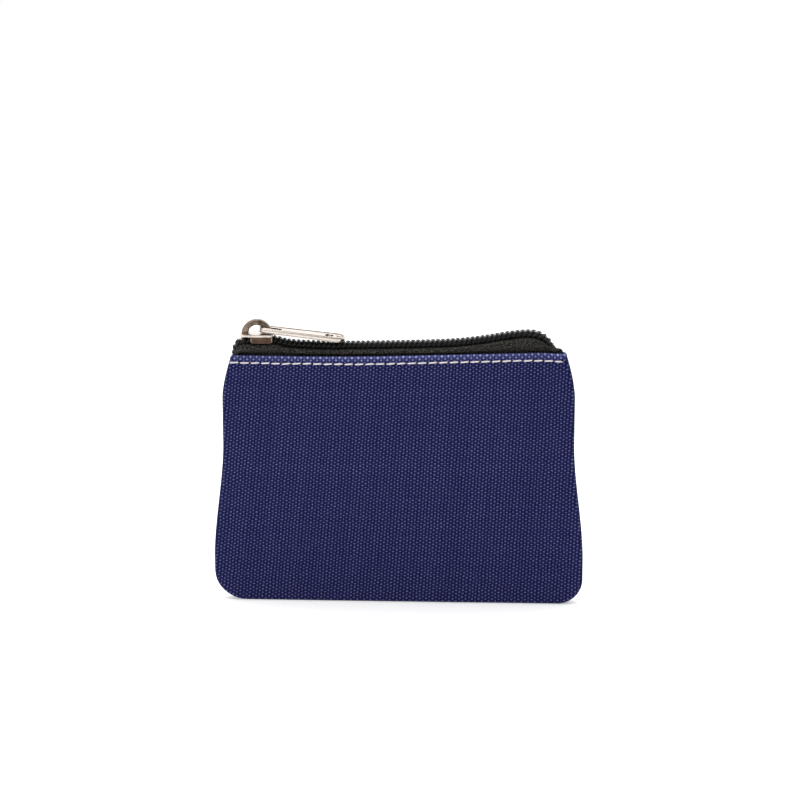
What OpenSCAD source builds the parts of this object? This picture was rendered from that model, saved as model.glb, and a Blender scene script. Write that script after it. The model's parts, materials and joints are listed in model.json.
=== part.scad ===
// Small zippered canvas pouch, standing on its bottom seam.
// +X to the right, -Y to the front, +Z up; the origin is under the middle of the bottom seam.

/* [Bag] */
// Widest part of the bag, just above the bottom corners
bag_w = 112; // [90:1:140]
// Height of the canvas at the middle of the mouth
bag_h = 77; // [62:1:95]
// How much higher the right end of the mouth is than the left end
mouth_rise = 1.8; // [0:0.1:3]
// How far the waist comes in from the widest part, on each side
waist_in = 3.1; // [0:0.1:5]
// How far the ends of the mouth come in from the widest part, on each side
mouth_in = 6; // [4.5:0.1:8]
// Radius of the bottom corners
corner_r = 7.6; // [6.4:0.1:12]
// How far each panel bulges past its seam edge
bulge = 2.2; // [1.6:0.1:5]

/* [Canvas] */
// Thickness of the canvas
canvas_t = 0.95; // [0.7:0.01:1.1]
// Depth of the folded hem at the mouth
hem_h = 8; // [6.5:0.1:11]
// Width of the seam allowance turned into the bag
allowance = 5.8; // [4.8:0.1:6]
// Half the gap that the closing seam's thread lies in
seam_gap = 0.25; // [0.23:0.01:0.4]
// Length from one stitch to the next
stitch_pitch = 3.13; // [2.5:0.01:4]
// Radius of the sewing thread
thread_r = 0.2; // [0.15:0.01:0.22]
// Distance of the topstitch below the edge of the mouth
topstitch_drop = 2.2; // [1.6:0.1:4]
// Thickness of the binding tape over the allowance
binding_t = 0.28; // [0.2:0.01:0.3]

/* [Zipper chain] */
// Distance from one loop of a coil to the next
coil_pitch = 1.5; // [1.4:0.01:1.9]
// Diameter of the coil's filament
filament = 0.6; // [0.45:0.01:0.62]
// Height of the coil's loops above the tape
coil_t = 1.9; // [1.7:0.01:2.1]
// Reach of a coil from the middle line to its outer bend
coil_half = 2.6; // [2.3:0.01:2.9]
// How far a loop's head reaches past the middle line
head_reach = 0.5; // [0.3:0.01:0.6]
// Thickness of the zipper tape
tape_t = 0.45; // [0.3:0.01:0.5]
// Depth of the tape behind the hem, from the edge of the mouth
tape_tail = 7; // [5:0.1:9]
// Radius of the core cord inside the coil
cord_r = 0.28; // [0.2:0.01:0.3]

/* [Slider] */
// Length of the slider
slider_l = 10.5; // [9:0.1:12]
// Width of the upper wing
slider_w = 8.7; // [8.2:0.1:10]
// Width of the lower wing
lower_wing_w = 6.6; // [5:0.1:7]
// Thickness of each wing
wing_t = 0.62; // [0.5:0.01:0.8]
// Length of the side flanges, from the tail
flange_l = 6.6; // [5:0.1:7.5]
// Thickness of the side flanges
flange_t = 0.75; // [0.5:0.01:0.9]
// Clearance of the chain inside the slider
channel_gap = 0.3; // [0.22:0.01:0.5]
// Width of the wedge that parts the two coils
wedge_w = 1; // [0.8:0.1:1.4]

/* [Crown and pull tab] */
// Length of the crown along the slider
crown_l = 9.06; // [8:0.01:10]
// Height of the crown over the upper wing
crown_h = 4.2; // [3.8:0.1:5.5]
// Thickness of the crown at its feet
crown_foot = 2; // [1.5:0.1:2.2]
// Thickness of the crown at its top
crown_top = 1.65; // [1.2:0.05:1.8]
// Width of the crown across the slider
crown_w = 2.4; // [1.8:0.1:2.8]
// Length of the pull tab from its pivot to its far end
tab_l = 25.3; // [20:0.1:32]
// Width of the pull tab at its far end
tab_w = 7.4; // [6.4:0.1:9]
// Thickness of the pull tab
tab_t = 1.2; // [0.9:0.1:1.3]
// Radius of the round hole near the far end
tab_hole_r = 0.8; // [0.6:0.05:1]

/* [Hidden] */

touch = 0.03;                       // gap between pieces that lie on each other
mouth_w = bag_w - 2 * mouth_in;
waist_w = bag_w - 2 * waist_in;
flare_z = 0.17 * bag_h;             // below this height the bag has its full width
waist_z = 0.65 * bag_h;             // narrowest height
shoulder_z = bag_h - 13;            // above this height the sides slant in to the mouth
edge_foot = 1.35;                   // depth of a panel's edge at the seam
edge_full = 2.35;                   // the same where the turned edge is at its fullest
edge_roll = 2.4;                    // width of the turned edge's round

function clamp(t) = min(max(t, 0), 1);
function ease(t) = let(c = clamp(t)) c * c * (3 - 2 * c);
function edge_z(x) = bag_h + mouth_rise * x / mouth_w;

// Half the bag's width at height z
function side_x(z) =
    let(flare = (bag_w - waist_w) / 2 * ease((waist_z - z) / (waist_z - flare_z)),
        slant = (waist_w - mouth_w) / 2 * pow(clamp((z - shoulder_z) / (bag_h - shoulder_z)), 1.5),
        drop = corner_r - min(max(z, 0), corner_r))
    waist_w / 2 + flare - slant - corner_r + sqrt(corner_r * corner_r - drop * drop);

// Distance from the seam edge of a point at u (-1 to 1) across and height z
function edge_distance(u, z) =
    let(x = abs(u) * side_x(z), cx = bag_w / 2 - corner_r, over = max(x - cx, 0))
    z < corner_r
        ? corner_r - sqrt(over * over + pow(corner_r - z, 2))
        : min(side_x(z) - x, z);

// Depth of a panel's outer face from the middle plane
function depth(u, z) =
    let(roll = 1 - clamp(edge_distance(u, z) / edge_roll))
    seam_gap + edge_foot + (edge_full - edge_foot) * sqrt(1 - roll * roll)
        + bulge * pow(max(1 - u * u, 0), 0.8) * sin(90 * clamp(z / (0.55 * bag_h)));

// How much each side of the hem rounds in at the fold, d below the edge
function fold_round(d) =
    let(t = 1 - clamp(d / canvas_t))
    0.6 * canvas_t * (1 - sqrt(max(1 - t * t, 0)));

function hem_layers(d) = 1 + clamp((hem_h + 0.5 - d) / 0.5);
function hem_inner(u, z, d) = max(depth(u, z) - canvas_t * hem_layers(d), seam_gap);

// ---- Panels ----------------------------------------------------------------------------------

panel_u = [-1, -0.985, -0.955, -0.9, -0.8, -0.6, -0.3, 0, 0.3, 0.6, 0.8, 0.9, 0.955, 0.985, 1];
panel_z = concat(
    [0, 0.35, 1.2, 2.6, 4.8, corner_r],
    [for (k = [1:4]) corner_r + (bag_h - hem_h - 0.5 - corner_r) * k / 4],
    [for (d = [hem_h, hem_h / 2, canvas_t, 0.4 * canvas_t, 0]) bag_h - d]
);

function panel_point(u, z, inside) =
    let(x = u * side_x(z), d = bag_h - z, round_in = fold_round(d),
        y = inside
            ? min(hem_inner(u, z, d) + round_in, depth(u, z) - round_in)
            : depth(u, z) - round_in)
    [x, -y, z * edge_z(x) / bag_h];

// Closed mesh between two grids of points with the same rows and columns
module between_grids(outer, inner) {
    rows = len(outer);
    cols = len(outer[0]);
    n = rows * cols;
    points = [for (grid = [outer, inner]) for (row = grid) for (p = row) p];
    front = [for (r = [0:rows - 2]) for (c = [0:cols - 2])
        let(a = r * cols + c, b = a + 1, e = a + cols, f = e + 1)
        each [[a, f, b], [a, e, f]]];
    back = [for (t = front) [t[0] + n, t[2] + n, t[1] + n]];
    ring = concat(
        [for (c = [0:cols - 1]) c],
        [for (r = [1:rows - 1]) r * cols + cols - 1],
        [for (c = [cols - 2:-1:0]) (rows - 1) * cols + c],
        [for (r = [rows - 2:-1:1]) r * cols]);
    rim = [for (k = [0:len(ring) - 1])
        let(a = ring[k], b = ring[(k + 1) % len(ring)])
        each [[a, b, b + n], [a, b + n, a + n]]];
    polyhedron(points, concat(front, back, rim));
}

module panel_shell() {
    grids = [for (inside = [false, true]) [for (z = panel_z) [for (u = panel_u) panel_point(u, z, inside)]]];
    between_grids(grids[0], grids[1]);
}

allowance_top = bag_h - mouth_rise - max(tape_tail, hem_h) - 1;

// Right half of the seam line, inset by s, from the middle of the bottom to the top of the allowance
function half_seam(s) = concat(
    [[0, s]],
    [for (a = [0:15:90]) let(r = corner_r - s)
        [bag_w / 2 - corner_r + r * sin(a), corner_r - r * cos(a)]],
    [for (k = [1:8]) let(z = corner_r + (allowance_top - corner_r) * k / 8) [side_x(z) - s, z]]
);
function mirror_x(path) = [for (k = [len(path) - 1:-1:0]) [-path[k][0], path[k][1]]];
function whole_seam(s) = concat(mirror_x(half_seam(s)), [for (k = [1:len(half_seam(s)) - 1]) half_seam(s)[k]]);

// Flat strip along the seam between two insets, from y_low to y_high
module seam_strip(s_out, s_in, y_low, y_high) {
    outer = whole_seam(s_out);
    inner = whole_seam(s_in);
    translate([0, y_high, 0])
        rotate([90, 0, 0])
            linear_extrude(y_high - y_low)
                polygon(concat(outer, [for (k = [len(inner) - 1:-1:0]) inner[k]]));
}

module front_panel() {
    color("midnightblue")
        union() {
            panel_shell();
            seam_strip(0.05, allowance, -seam_gap - canvas_t, -seam_gap);
        }
}

module back_panel() {
    mirror([0, 1, 0]) front_panel();
}

module seam_binding() {
    y_in = seam_gap + canvas_t + touch;
    web = allowance + touch;
    color("black")
        union() {
            seam_strip(web, web + binding_t, -y_in - binding_t, y_in + binding_t);
            seam_strip(3, web + binding_t, -y_in - binding_t, -y_in);
            seam_strip(3, web + binding_t, y_in, y_in + binding_t);
        }
}

// ---- Threads ---------------------------------------------------------------------------------

module rod(a, b, r) {
    d = b - a;
    reach = norm(d);
    translate(a)
        rotate([0, acos(d[2] / reach), atan2(d[1], d[0])])
            cylinder(h = reach, r = r, $fn = 16);
}

stitch_l = 0.78 * stitch_pitch;

function path_lengths(path, k = 0, so_far = 0) =
    k == len(path) - 1
        ? [so_far]
        : concat([so_far], path_lengths(path, k + 1, so_far + norm(path[k + 1] - path[k])));
function along(path, lengths, s, axis) = lookup(s, [for (k = [0:len(path) - 1]) [lengths[k], path[k][axis]]]);

module seam_stitching() {
    path = whole_seam(0.7);
    lengths = path_lengths(path);
    last = lengths[len(lengths) - 1];
    color("ivory")
        for (s = [0.5:stitch_pitch:last - stitch_l])
            rod([along(path, lengths, s, 0), 0, along(path, lengths, s, 1)],
                [along(path, lengths, s + stitch_l, 0), 0, along(path, lengths, s + stitch_l, 1)],
                thread_r);
}

function topstitch_point(x) =
    let(z = bag_h - topstitch_drop, lift = thread_r + 0.07)
    [x, -depth(x / side_x(z), z) - lift, edge_z(x) - topstitch_drop];

module front_topstitch() {
    reach = side_x(bag_h - topstitch_drop) - edge_roll;
    count = floor(2 * reach / stitch_pitch);
    color("ivory")
        for (k = [0:count - 1])
            let(x = (k - count / 2) * stitch_pitch)
            rod(topstitch_point(x), topstitch_point(x + stitch_l), thread_r);
}

module back_topstitch() {
    mirror([0, 1, 0]) front_topstitch();
}

// ---- Zipper chain ----------------------------------------------------------------------------

// The tape's line under the coils: share of half the mouth's width, and height over the mouth's edge
route = [
    [-0.97, 0.4], [-0.967, 1.5], [-0.955, 2.7], [-0.93, 3.32], [-0.89, 3.44], [-0.84, 3.4],
    [-0.76, 3.36], [-0.71, 2.85], [-0.64, 2.1], [-0.4, 1.5], [0, 1.5], [0.31, 2.1], [0.49, 2.8],
    [0.67, 4.05], [0.78, 4.5], [0.84, 4], [0.88, 2.8], [0.908, 1.4], [0.924, 0.4]
];
function route_knot(k) =
    let(i = min(max(k, 0), len(route) - 1), x = route[i][0] * mouth_w / 2)
    [x, edge_z(x) + route[i][1]];
function spline(a, b, c, d, t) =
    0.5 * (2 * b + (c - a) * t + (2 * a - 5 * b + 4 * c - d) * t * t + (3 * b - a - 3 * c + d) * t * t * t);

chain = concat(
    [for (k = [0:len(route) - 2]) for (t = [0:0.25:0.75])
        spline(route_knot(k - 1), route_knot(k), route_knot(k + 1), route_knot(k + 2), t)],
    [route_knot(len(route) - 1)]
);
chain_lengths = path_lengths(chain);
chain_l = chain_lengths[len(chain_lengths) - 1];

function chain_at(s) = [along(chain, chain_lengths, s, 0), along(chain, chain_lengths, s, 1)];
function chain_way(s) =
    let(a = chain_at(max(s - 0.6, 0)), b = chain_at(min(s + 0.6, chain_l)))
    (b - a) / norm(b - a);

// A point at s along the chain, y to the side and n over the tape
function chain_point(s, y, n) =
    let(p = chain_at(s), w = chain_way(s))
    [p[0] - n * w[1], y, p[1] + n * w[0]];

// The chain narrows where its ends turn down into the side seams
end_l = 7;
function narrow(s) = 1 - 0.55 * (1 - ease(min(s, chain_l - s) / end_l));

// The slider stands at the closed end of its travel
slider_x = -0.848 * mouth_w / 2;
slider_z = lookup(slider_x, [for (p = chain) [p[0], p[1]]]);
nose_x = slider_x - slider_l / 2;
wedge_l = 2.4;
wedge_x = nose_x + 0.3;
wedge_tip = wedge_x + wedge_l;

// The coils part round the slider's wedge
head_gap = 0.12;                    // room between a loop's head and the wedge
function part_away(s) =
    let(x = chain_at(s)[0])
    (wedge_w / 2 + head_reach + head_gap) * ease((wedge_tip + 2.05 - x) / 3) * ease(s / 3);

coil_margin = 0.6;
coil_turns = floor((chain_l - 2 * coil_margin) / coil_pitch);
// Half a pitch lies between the loops of the two coils
function turn_s(k, shift) = coil_margin + (k + 0.25 + shift) * coil_pitch;

module at_chain(s, y) {
    w = chain_way(s);
    translate(chain_point(s, y, 0))
        rotate([0, -atan2(w[1], w[0]), 0])
            children();
}

// Upright loop, reaching from y = 0 to y = reach and from the tape up to coil_t
module loop(reach) {
    r = coil_t / 2;
    translate([-filament / 2, 0, 0])
        rotate([90, 0, 90])
            linear_extrude(filament)
                difference() {
                    stadium(reach, r);
                    translate([filament, filament])
                        stadium(reach - 2 * filament, r - filament);
                }
}

module stadium(reach, r) {
    translate([r, r]) circle(r, $fn = 24);
    translate([reach - r, r]) circle(r, $fn = 24);
    translate([r, 0]) square([max(reach - 2 * r, 0.01), 2 * r]);
}

// Distance from the middle line to a coil's outer bend
function outer_bend(s) = coil_half * narrow(s) + part_away(s);
link_touch = 0.02;                  // least overlap of a link with each loop that it joins
link_low = 0.6;

// Coil of one tape; y grows from its outer bend to its heads
module coil(shift) {
    for (k = [0:coil_turns - 1])
        let(s = turn_s(k, shift))
        at_chain(s, -outer_bend(s))
            translate([0, 0, touch]) loop((coil_half + head_reach) * narrow(s));
    for (k = [0:coil_turns - 2])
        coil_link(turn_s(k, shift), turn_s(k + 1, shift));
}

// The link reaches both loops, however far they fan out or step aside
module coil_link(s0, s1) {
    s = (s0 + s1) / 2;
    outer = outer_bend(s);
    near = min(outer_bend(s0), outer_bend(s1));
    far = max(outer_bend(s0), outer_bend(s1));
    first = min(0.02, outer - far + filament - link_touch);
    last = max(filament - 0.06, outer - near + link_touch);
    room = norm(chain_point(s1, 0, coil_t / 2) - chain_point(s0, 0, coil_t / 2)) - filament;
    reach = max(coil_pitch, room + 2 * link_touch);
    at_chain(s, -outer)
        translate([-reach / 2, first, link_low])
            cube([reach, last - first, coil_t - 2 * link_low]);
}

module front_coil() {
    color("black") coil(0);
}

module back_coil() {
    color("black") mirror([0, 1, 0]) coil(0.5);
}

// Tube of six sides along the chain, y to the side and n over the tape
module chain_tube(first, last, step_l, r) {
    count = ceil((last - first) / step_l);
    sides = 6;
    rings = [for (k = [0:count])
        let(s = first + (last - first) * k / count,
            y = -coil_half * narrow(s) + filament + r + 0.1 - part_away(s))
        [for (a = [0:sides - 1])
            chain_point(s, y + r * cos(360 * a / sides), touch + coil_t / 2 + r * sin(360 * a / sides))]];
    points = [for (ring = rings) for (p = ring) p];
    walls = [for (k = [0:count - 1]) for (a = [0:sides - 1])
        let(b = (a + 1) % sides, p = k * sides + a, q = k * sides + b)
        each [[p, q, q + sides], [p, q + sides, p + sides]]];
    polyhedron(points, concat(walls,
        [[for (a = [sides - 1:-1:0]) a]],
        [[for (a = [0:sides - 1]) count * sides + a]]));
}

module front_coil_cord() {
    end = 4.2;  // the cord stops where the loops grow too narrow for it
    color("dimgray") chain_tube(end, chain_l - end, coil_pitch, cord_r);
}

module back_coil_cord() {
    mirror([0, 1, 0]) front_coil_cord();
}

// One stitch over each loop
module coil_stitching(shift) {
    r = 0.09;
    n = coil_t + touch + r + 0.07;
    for (k = [0:coil_turns - 1])
        let(s = turn_s(k, shift), y = -0.6 * coil_half * narrow(s) - part_away(s))
        rod(chain_point(s - 0.45, y, n), chain_point(s + 0.45, y, n), r);
}

module front_coil_stitching() {
    color("black") coil_stitching(0);
}

module back_coil_stitching() {
    color("black") mirror([0, 1, 0]) coil_stitching(0.5);
}

// Tape: flat under the coil, rolled out past the slider's lower wing, then down behind the hem
tape_flat = lower_wing_w / 2 + 0.12;
tape_roll = tape_flat + 0.8;
hem_touch = touch + 0.02;
tail_reach = side_x(bag_h) - 3.2;

function tape_section(s, inside) =
    let(p = chain_at(s), w = chain_way(s), thin = inside ? tape_t : 0, k = narrow(s),
        x = -tail_reach + 2 * tail_reach * s / chain_l,
        u = x / side_x(bag_h),
        behind = hem_inner(u, bag_h, 0) - hem_touch,
        low = hem_inner(u, bag_h - tape_tail, tape_tail) - hem_touch,
        roll = tape_roll * k + part_away(s) / 2,
        drop = min(1.1, (p[1] - edge_z(x)) / 2 + 0.1))
    [
        chain_point(s, -0.2 - part_away(s) * 0.5, -touch - thin),
        chain_point(s, -tape_flat * k - part_away(s) * 0.5, -touch - thin),
        [p[0] * 0.7 + x * 0.3, -max(roll, behind) + thin, p[1] - drop - thin * 0.5],
        [x, -behind + thin, edge_z(x) + 0.1],
        [x, -min(behind, low) + thin, edge_z(x) - tape_tail]
    ];

module front_tape() {
    count = 36;
    grids = [for (inside = [true, false])
        [for (k = [0:count]) tape_section(0.3 + (chain_l - 0.6) * k / count, inside)]];
    color("black") between_grids(grids[0], grids[1]);
}

module back_tape() {
    mirror([0, 1, 0]) front_tape();
}

// Bar tack between the hems, under the end of the chain
module end_tack(x) {
    half = 0.45;
    for (z = [0:0.42:2.6])
        translate([x, 0, edge_z(x) - 2.9 + z])
            rotate([90, 0, 0])
                cylinder(h = 2 * half, r = 0.19, center = true, $fn = 16);
}

module left_end_tack() {
    color("black") end_tack(-tail_reach - 1);
}

module right_end_tack() {
    color("black") end_tack(tail_reach + 1);
}

// ---- Slider ----------------------------------------------------------------------------------

upper_z = slider_z + touch + coil_t + channel_gap;  // underside of the upper wing
lower_z = slider_z - touch - tape_t - 0.26;         // top of the lower wing
flange_z = slider_z + 0.26;                         // lower edge of the flanges
tail_narrow = 0.93;                                 // width of a wing's tail, as a share of its widest part
tail_x = slider_x + slider_l / 2;

// Wing outline from x_nose to x_tail, its nose rounded like a shield
module wing(x_nose, x_tail, w) {
    nose = (x_tail - x_nose) * 0.34;
    tail_y = w / 2 * tail_narrow;
    tail_r = 0.9;
    polygon(concat(
        [for (a = [90:15:270]) [x_nose + nose + nose * cos(a), w / 2 * sin(a)]],
        [for (a = [-90:30:0]) [x_tail - tail_r + tail_r * cos(a), -tail_y + tail_r + tail_r * sin(a)]],
        [for (a = [0:30:90]) [x_tail - tail_r + tail_r * cos(a), tail_y - tail_r + tail_r * sin(a)]]
    ));
}

// Side flange: a plate with its two lower corners rounded
module flange() {
    x_tail = tail_x - 0.2;
    r = 0.9;
    h = upper_z - flange_z;
    translate([0, -slider_w / 2 * tail_narrow + flange_t, 0])
        rotate([90, 0, 0])
            linear_extrude(flange_t)
                polygon(concat(
                    [for (a = [180:22.5:270]) [x_tail - flange_l + r + r * cos(a), flange_z + r + r * sin(a)]],
                    [for (a = [270:22.5:360]) [x_tail - r + r * cos(a), flange_z + r + r * sin(a)]],
                    [[x_tail, flange_z + h + 0.1], [x_tail - flange_l, flange_z + h + 0.1]]
                ));
}

module slider_body() {
    color("silver")
        union() {
            translate([0, 0, upper_z]) linear_extrude(wing_t) wing(nose_x, tail_x, slider_w);
            translate([0, 0, lower_z - wing_t])
                linear_extrude(wing_t) wing(nose_x + 1.3, tail_x - 0.6, lower_wing_w);
            flange();
            mirror([0, 1, 0]) flange();
            translate([wedge_x, 0, lower_z - 0.1])
                linear_extrude(upper_z - lower_z + 0.2)
                    polygon([[0.3, -wedge_w / 2], [wedge_l * 0.7, -wedge_w / 2], [wedge_l, 0],
                             [wedge_l * 0.7, wedge_w / 2], [0.3, wedge_w / 2], [0, 0]]);
        }
}

crown_z = upper_z + wing_t;

function arch(a, b) = [for (t = [0:9:180]) [slider_x + a * cos(t), b * sin(t)]];

module slider_crown() {
    inner_a = crown_l / 2 - crown_foot;
    inner_b = crown_h - crown_top;
    inner = arch(inner_a, inner_b);
    color("silver")
        translate([0, crown_w / 2, crown_z])
            rotate([90, 0, 0])
                linear_extrude(crown_w)
                    polygon(concat(arch(crown_l / 2, crown_h), [for (k = [len(inner) - 1:-1:0]) inner[k]]));
}

// ---- Pull tab --------------------------------------------------------------------------------

pivot_ahead = 1.35;                  // from the crown's middle to the pivot
pivot_x = slider_x + pivot_ahead;
pivot_z = crown_z + 1.25;
bar_r = 0.6;                         // bar of the eye, which turns in the crown
eye_l = crown_l / 2 + pivot_ahead + 0.15;  // the eye's far edge clears the crown all the way round
eye_half = crown_w / 2 + 0.4;
arm_w = 1.3;                         // width of each arm of the eye
tab_end_x = pivot_x + tab_l - 0.8;
coil_under_tab = lookup(tab_end_x, [for (p = chain) [p[0], p[1]]]) + coil_t + touch + 0.23;
tab_slope = asin((pivot_z - coil_under_tab - tab_t / 2 - 0.1) / (tab_l - 0.8));

// Outline from above, with the pivot at the origin
module tab_outline() {
    r = tab_w / 2;
    w = eye_half + arm_w;
    polygon(concat(
        [for (a = [90:18:270]) [w * 0.55 - bar_r + w * 0.55 * cos(a), w * sin(a)]],
        [for (a = [-90:15:90]) [tab_l - r * 0.7 + r * 0.7 * cos(a), r * sin(a)]]
    ));
}

module rounded_slot(l, w, r) {
    for (x = [-1, 1]) for (y = [-1, 1])
        translate([x * (l / 2 - r), y * (w / 2 - r)]) circle(r, $fn = 24);
    square([l, w - 2 * r], center = true);
    square([l - 2 * r, w], center = true);
}

module pull_tab() {
    slot_x = tab_l - 4.85;
    hole_x = tab_l - 2.1;
    recess = 0.15;
    field_l = slot_x - 2 - eye_l - 1.2;
    color("gainsboro")
        translate([pivot_x, 0, pivot_z])
            rotate([0, tab_slope, 0]) {
                translate([0, eye_half + 0.3, 0])
                    rotate([90, 0, 0])
                        cylinder(h = 2 * eye_half + 0.6, r = bar_r, $fn = 32);
                difference() {
                    translate([0, 0, -tab_t / 2]) linear_extrude(tab_t) tab_outline();
                    translate([eye_l / 2 - 1.5, 0, -tab_t])
                        linear_extrude(2 * tab_t) rounded_slot(eye_l + 3, 2 * eye_half, 1);
                    translate([slot_x, 0, -tab_t])
                        linear_extrude(2 * tab_t) rounded_slot(2.2, 3.8, 0.9);
                    translate([hole_x, 0, -tab_t]) cylinder(h = 2 * tab_t, r = tab_hole_r, $fn = 32);
                    for (side = [-1, 1])
                        translate([eye_l + 1.2 + field_l / 2, 0, side * (tab_t / 2 + 0.5 - recess)])
                            translate([0, 0, -0.5])
                                linear_extrude(1) rounded_slot(field_l, tab_w - 3, 0.6);
                }
            }
}

front_panel();
back_panel();
seam_binding();
seam_stitching();
front_topstitch();
back_topstitch();
front_tape();
back_tape();
front_coil();
back_coil();
front_coil_cord();
back_coil_cord();
front_coil_stitching();
back_coil_stitching();
left_end_tack();
right_end_tack();
slider_body();
slider_crown();
pull_tab();
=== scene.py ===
import json
import math

import bmesh
import bpy
from mathutils import Matrix, Vector, noise


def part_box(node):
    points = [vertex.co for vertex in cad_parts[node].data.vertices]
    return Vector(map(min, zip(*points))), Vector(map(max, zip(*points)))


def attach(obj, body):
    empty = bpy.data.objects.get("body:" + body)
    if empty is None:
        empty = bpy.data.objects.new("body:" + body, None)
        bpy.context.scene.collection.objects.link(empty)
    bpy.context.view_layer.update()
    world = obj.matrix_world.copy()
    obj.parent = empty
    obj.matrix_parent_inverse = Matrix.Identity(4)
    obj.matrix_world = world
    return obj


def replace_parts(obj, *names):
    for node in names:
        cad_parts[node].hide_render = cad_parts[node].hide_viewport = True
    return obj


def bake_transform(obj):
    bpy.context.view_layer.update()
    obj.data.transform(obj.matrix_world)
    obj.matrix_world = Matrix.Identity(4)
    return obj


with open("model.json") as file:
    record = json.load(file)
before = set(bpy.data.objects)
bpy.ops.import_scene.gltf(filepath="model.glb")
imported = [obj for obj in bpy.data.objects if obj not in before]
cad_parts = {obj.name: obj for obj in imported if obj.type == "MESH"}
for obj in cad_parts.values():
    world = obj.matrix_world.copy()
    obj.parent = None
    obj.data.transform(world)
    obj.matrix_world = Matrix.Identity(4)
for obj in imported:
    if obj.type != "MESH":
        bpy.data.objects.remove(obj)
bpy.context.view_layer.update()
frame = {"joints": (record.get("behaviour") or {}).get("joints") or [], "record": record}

mm = 0.001
scene = bpy.context.scene
joints = {j["name"]: j for j in frame["joints"]}
mounts = {m["name"]: m for m in frame["record"]["mounts"]}


# small helpers: they take millimetres, and finished meshes are in metres
def clampUnit(t):
    return min(max(t, 0.0), 1.0)


def ease(t):
    t = clampUnit(t)
    return t * t * (3 - 2 * t)


def mix(a, b, t):
    return a + (b - a) * t


def boxMm(node):
    low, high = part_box(node)
    return low / mm, high / mm


def linkMesh(name, mesh, materials):
    for material in materials:
        mesh.materials.append(material)
    piece = bpy.data.objects.new(name, mesh)
    scene.collection.objects.link(piece)
    return piece


def linkShape(name, bm, materials, smooth=True):
    mesh = bpy.data.meshes.new(name)
    bm.to_mesh(mesh)
    bm.free()
    if smooth:
        mesh.shade_smooth()
    return linkMesh(name, mesh, materials)


# gives an open sheet its wall
def thicken(piece, thickness, evenWall=False):
    wall = piece.modifiers.new("Solidify", "SOLIDIFY")
    wall.thickness = thickness * mm
    wall.offset = 0
    wall.use_even_offset = evenWall
    graph = bpy.context.evaluated_depsgraph_get()
    made = bpy.data.meshes.new_from_object(piece.evaluated_get(graph))
    piece.modifiers.clear()
    old = piece.data
    piece.data = made
    bpy.data.meshes.remove(old)


def tubes(name, lines, radius, material, sides=8, cyclic=False, widths=None):
    curve = bpy.data.curves.new(name, "CURVE")
    curve.dimensions = "3D"
    curve.bevel_depth = radius * mm
    curve.bevel_resolution = (sides - 4) // 2
    curve.use_fill_caps = True
    for line in lines:
        spline = curve.splines.new("POLY")
        spline.points.add(len(line) - 1)
        for k, (point, place) in enumerate(zip(spline.points, line)):
            point.co = (place[0] * mm, place[1] * mm, place[2] * mm, 1)
            point.radius = widths[k] if widths else 1.0
        spline.use_cyclic_u = cyclic
        spline.use_smooth = True
    holder = bpy.data.objects.new(name + "Line", curve)
    scene.collection.objects.link(holder)
    graph = bpy.context.evaluated_depsgraph_get()
    mesh = bpy.data.meshes.new_from_object(holder.evaluated_get(graph))
    bpy.data.objects.remove(holder)
    bpy.data.curves.remove(curve)
    mesh.name = name
    mesh.materials.clear()
    mesh.shade_smooth()
    return linkMesh(name, mesh, [material])


def vertsIn(geometry):
    return [g for g in geometry if isinstance(g, bmesh.types.BMVert)]


def openEdges(geometry):
    return [g for g in geometry if isinstance(g, bmesh.types.BMEdge) and g.is_boundary]


def toMetres(bm):
    bmesh.ops.scale(bm, vec=(mm, mm, mm), verts=bm.verts[:])


def moveAll(bm, *way):
    bmesh.ops.translate(bm, vec=way, verts=bm.verts[:])


def flipY(bm):
    bmesh.ops.scale(bm, vec=(1, -1, 1), verts=bm.verts[:])
    bmesh.ops.reverse_faces(bm, faces=bm.faces[:])


# points on an arc about (x, y), its first angle, its sweep and its number of steps
def arc(x, y, across, up, first, sweep, steps):
    angles = [first + sweep * k / steps for k in range(steps + 1)]
    return [(x + across * math.cos(a), y + up * math.sin(a)) for a in angles]


# the bag's sizes, as in the CAD model; from edgeDip on they are the cloth's own small unevenness
panelLow, panelHigh = boxMm("front_panel")
bag = {
    "width": panelHigh.x - panelLow.x,
    "mouthRise": 1.8,  # how much higher the mouth's right end is than its left end
    "waistIn": 3.1,  # how far the sides pull in at the waist, and at the mouth
    "mouthIn": 6.0,
    "flareShare": 0.17,  # where the sides begin to narrow, as a share of the height
    "waistShare": 0.65,
    "shoulderDrop": 13,
    "cornerRadius": 7.6,
    "mouthCornerRadius": 1.7,
    "bulge": 2.2,
    "fullShare": 0.55,  # share of the height where the bulge is full
    "seamGap": 0.25,
    "edgeFull": 2.35,
    "canvas": 0.95,
    "hem": 8.0,
    "allowance": 5.8,
    "topstitchDrop": 2.2,
    "edgeDip": 0.45,  # the cloth's edge hangs lower round dipX
    "dipX": -12,
    "dipSpan": 26,
    "cornerDrop": 0.7,  # and at its right end
    "dropStart": 8,
    "dropLength": 9,
    "leftTrim": 2.3,  # the left bottom corner is rounder than the right one
    "trimHeight": 9.5,
}
bag["mouth"] = bag["width"] - 2 * bag["mouthIn"]
bag["waist"] = bag["width"] - 2 * bag["waistIn"]
bag["height"] = panelHigh.z - bag["mouthRise"] / 2
bag["flareZ"] = bag["flareShare"] * bag["height"]
bag["waistZ"] = bag["waistShare"] * bag["height"]
bag["shoulderZ"] = bag["height"] - bag["shoulderDrop"]


def edgeHeight(x):
    return bag["height"] + bag["mouthRise"] * x / bag["mouth"]


def clothEdge(x):
    corner = bag["cornerDrop"] * ease((x - bag["mouth"] / 2 + bag["dropStart"]) / bag["dropLength"])
    return edgeHeight(x) - bag["edgeDip"] * math.exp(-((x - bag["dipX"]) / bag["dipSpan"]) ** 2) - corner


def leftTrim(z):
    return bag["leftTrim"] * clampUnit(1 - z / bag["trimHeight"]) ** 1.5


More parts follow.
